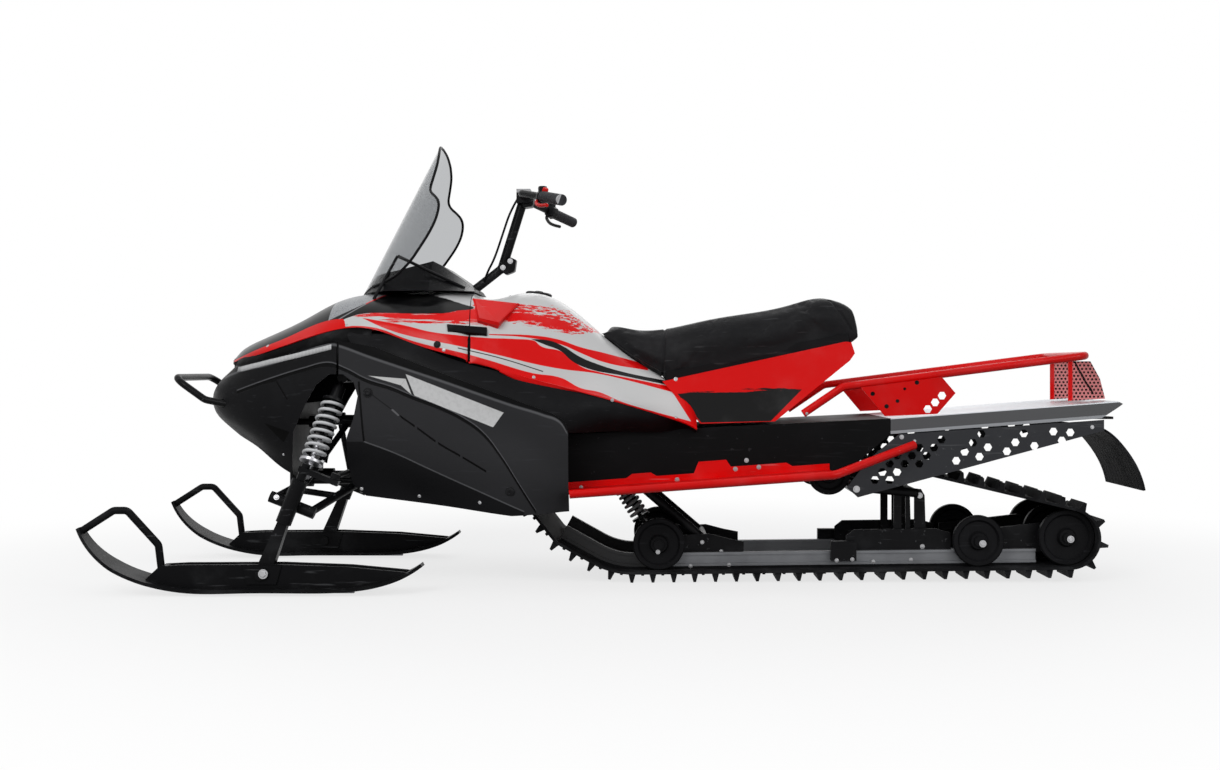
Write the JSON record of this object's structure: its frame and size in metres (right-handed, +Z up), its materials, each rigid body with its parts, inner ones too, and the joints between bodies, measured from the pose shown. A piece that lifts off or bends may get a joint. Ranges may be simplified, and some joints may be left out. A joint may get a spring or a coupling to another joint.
{
  "type": "utility snowmobile",
  "caption": "Long-track utility snowmobile with steered skis, a handlebar, a smoked windshield, a straddle seat and a rear cargo rack over its slide-rail track.",
  "frame": {"origin": "on the floor under the skis and track, midway along the whole length and on the centre plane", "axes": "+X towards the tail, the nose points along -X; +Y towards the rider's right; +Z up"},
  "size_m": [3.1914, 1.07, 1.3579],
  "materials": {
    "black_gloss": "gloss",
    "black_plastic": "satin",
    "cast_metal": "cast",
    "damper_steel": "brushed",
    "deck_aluminium": "satin",
    "flap_rubber": "matte",
    "frame_black": "satin",
    "grey_paint": "satin",
    "grip_rubber": "ribbed",
    "rail_aluminium": "satin",
    "red_paint": "gloss",
    "runner_steel": "worn",
    "seat_vinyl": "grained",
    "shield_glass": "smoked",
    "ski_plastic": "satin",
    "spring_white": "gloss",
    "track_rubber": "matte",
    "tunnel_black": "satin",
    "wheel_black": "satin",
    "white_paint": "gloss"
  },
  "bodies": {
    "chassis": {"belly_pan": "black_plastic", "board_rails": "red_paint", "dampers": "damper_steel", "dash_pod": "black_plastic", "drive_sprockets": "black_plastic", "engine_block": "cast_metal", "front_arms": "frame_black", "front_bumper": "frame_black", "front_frame": "frame_black", "hood": "white_paint", "idler_wheels": "wheel_black", "kingpin_housings": "frame_black", "nose_cone": "black_gloss", "rack_frame": "red_paint", "rack_plates": "red_paint", "rail_fittings": "frame_black", "rear_axle_arms": "rail_aluminium", "rear_deck": "deck_aluminium", "running_boards": "red_paint", "seat_base": "red_paint", "seat_cushion": "seat_vinyl", "shoulder_panels": "black_gloss", "side_panel_left": "black_gloss", "side_panel_right": "black_gloss", "side_plates": "grey_paint", "slide_rails": "rail_aluminium", "slider_shoes": "black_plastic", "snow_flap": "flap_rubber", "springs": "spring_white", "swing_arms": "frame_black", "tank_shroud": "white_paint", "tow_hitch": "frame_black", "track": "track_rubber", "tunnel": "tunnel_black", "windshield": "shield_glass"},
    "steering": {"handlebar": "frame_black", "grips": "grip_rubber"},
    "knuckle_l": {"knuckle_left": "frame_black"},
    "knuckle_r": {"knuckle_right": "frame_black"},
    "ski_l": {"ski_left": "ski_plastic", "ski_runner_left": "runner_steel"},
    "ski_r": {"ski_right": "ski_plastic", "ski_runner_right": "runner_steel"},
    "relay_rod": {"tie_rods": "frame_black"}
  },
  "joints": [
    {"name": "steer", "type": "hinge", "parent": "chassis", "child": "steering", "pos_m": [-0.49696, 0, 0.90005], "axis": [0.788, 0, 0.6157], "range_deg": [-30, 30]},
    {"name": "steer_left", "type": "hinge", "parent": "chassis", "child": "knuckle_l", "pos_m": [-1.056, -0.46, 0.05603], "axis": [0.3665, 0, 0.9304], "range_deg": [-27, 27]},
    {"name": "steer_right", "type": "hinge", "parent": "chassis", "child": "knuckle_r", "pos_m": [-1.056, 0.46, 0.05603], "axis": [0.3665, 0, 0.9304], "range_deg": [-27, 27]},
    {"name": "ski_pitch_left", "type": "hinge", "parent": "knuckle_l", "child": "ski_l", "pos_m": [-1.056, -0.46, 0.05603], "axis": [0, 1, 0], "range_deg": [-12, 12]},
    {"name": "ski_pitch_right", "type": "hinge", "parent": "knuckle_r", "child": "ski_r", "pos_m": [-1.056, 0.46, 0.05603], "axis": [0, 1, 0], "range_deg": [-12, 12]},
    {"name": "relay_slide", "type": "slide", "parent": "chassis", "child": "relay_rod", "axis": [0, 1, 0], "range_m": [-0.04178, 0.04178]}
  ],
  "couplings": [
    {"joint": "steer_left", "follows": "steer", "ratio": 0.9},
    {"joint": "steer_right", "follows": "steer", "ratio": 0.9},
    {"joint": "relay_slide", "follows": "steer", "m_per_rad": 0.07977}
  ]
}
